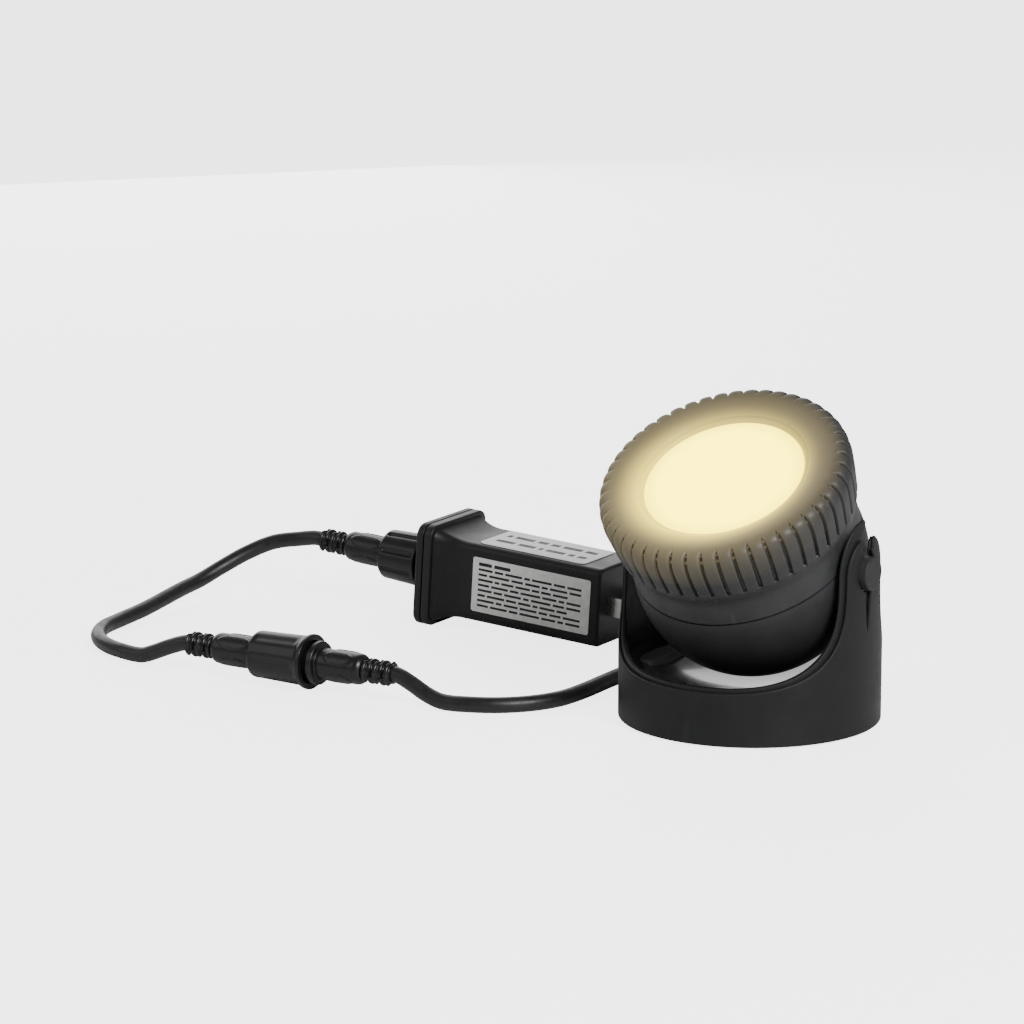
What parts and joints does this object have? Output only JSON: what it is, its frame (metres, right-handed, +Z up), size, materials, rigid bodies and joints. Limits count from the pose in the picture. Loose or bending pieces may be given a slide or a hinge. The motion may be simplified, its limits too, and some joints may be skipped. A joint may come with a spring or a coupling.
{
  "type": "underwater pond light",
  "caption": "Submersible LED spotlight tilting in a weighted yoke base, with supply cable, waterproof screw coupler and plug-in timer adapter.",
  "frame": {"origin": "centre of the lamp base's underside, on the ground plane that the base, cable, coupler and adapter all lie on", "axes": "+Z up; X along the head's tilt axis, with the cable, coupler and adapter on the -X side; the head leans towards -Y at rest"},
  "size_m": [0.2755, 0.1382, 0.099],
  "materials": {
    "base_plastic": "satin moulded, near black",
    "housing_plastic": "satin moulded, near black",
    "ring_plastic": "satin moulded, charcoal",
    "ballast_iron": "plain, painted against rust",
    "stainless": "plain",
    "black_rubber": "matt",
    "cable_jacket": "smooth jacket, faint sheen",
    "connector_plastic": "satin moulded",
    "plated_contact": "nickel plated",
    "adapter_plastic": "fine spark-eroded grain",
    "circuit_board": "solder mask",
    "led_substrate": "white solder mask on aluminium",
    "transformer_tape": "wound tape",
    "capacitor_sleeve": "shrink sleeve",
    "button_plastic": "translucent white",
    "green_led": "tinted epoxy",
    "label_paper": "printed vinyl",
    "silicone": "translucent white silicone",
    "lens": "clear tempered, domed",
    "mirror_plating": "vacuum plated",
    "aluminium": "stamped",
    "led_phosphor": "warm white phosphor, lit",
    "potting_resin": "cast epoxy",
    "red_insulation": "plain",
    "black_insulation": "plain"
  },
  "bodies": {
    "base": {"base_shell": "base_plastic", "ballast_plate": "ballast_iron", "bottom_cover": "base_plastic", "cover_screw_1": "stainless", "cover_screw_2": "stainless", "cover_screw_3": "stainless", "base_pad": "black_rubber", "cable_flex": "cable_jacket", "lamp_cable": "cable_jacket", "coupler_socket": "connector_plastic", "coupler_plug": "connector_plastic", "coupler_oring": "black_rubber", "coupler_pin_1": "plated_contact", "coupler_pin_2": "plated_contact", "adapter_cable": "cable_jacket", "adapter_case": "adapter_plastic", "adapter_cover": "adapter_plastic", "blade_left": "plated_contact", "blade_right": "plated_contact", "power_board": "circuit_board", "transformer": "transformer_tape", "capacitor": "capacitor_sleeve", "timer_board": "circuit_board", "tact_switch": "plated_contact", "status_led": "green_led", "timer_label": "label_paper", "rating_label": "label_paper", "outlet_jack": "connector_plastic", "outlet_plug": "connector_plastic", "outlet_oring": "black_rubber", "outlet_pin_1": "plated_contact", "outlet_pin_2": "plated_contact"},
    "head": {"head_housing": "housing_plastic", "lens_gasket": "silicone", "front_lens": "lens", "reflector": "mirror_plating", "heat_spreader": "aluminium", "led_board": "led_substrate", "board_screw_1": "stainless", "board_screw_2": "stainless", "board_screw_3": "stainless", "led_1": "led_phosphor", "led_2": "led_phosphor", "led_3": "led_phosphor", "led_4": "led_phosphor", "led_5": "led_phosphor", "led_6": "led_phosphor", "led_7": "led_phosphor", "resin_seal": "potting_resin", "driver_board": "circuit_board", "lead_wire_red": "red_insulation", "lead_wire_black": "black_insulation", "gland_seal": "black_rubber", "gland_nut": "connector_plastic", "cable_stub": "cable_jacket"},
    "ring": {"retaining_ring": "ring_plastic"},
    "coupler_nut": {"coupler_nut": "connector_plastic"},
    "outlet_nut": {"outlet_nut": "connector_plastic"},
    "button": {"timer_button": "button_plastic"}
  },
  "joints": [
    {"name": "head_tilt", "type": "hinge", "parent": "base", "child": "head", "pos_m": [0, 0, 0.0495], "axis": [1, 0, 0], "range_deg": [-40, 38], "deforming": ["cable_flex"]},
    {"name": "ring_unscrew", "type": "hinge", "parent": "head", "child": "ring", "pos_m": [0, 0, 0.0495], "axis": [0, -0.5299, 0.848], "continuous": true},
    {"name": "coupler_nut_spin", "type": "hinge", "parent": "base", "child": "coupler_nut", "pos_m": [-0.15, -0.042, 0.0088], "axis": [1, 0, 0], "continuous": true},
    {"name": "outlet_nut_spin", "type": "hinge", "parent": "base", "child": "outlet_nut", "pos_m": [-0.16846, 0.062, 0.01854], "axis": [0.9979, 0, -0.0644], "continuous": true},
    {"name": "timer_press", "type": "slide", "parent": "base", "child": "button", "axis": [0.9979, 0, -0.0644], "range_m": [0, 0.001], "stiffness_N_per_m": 400}
  ]
}
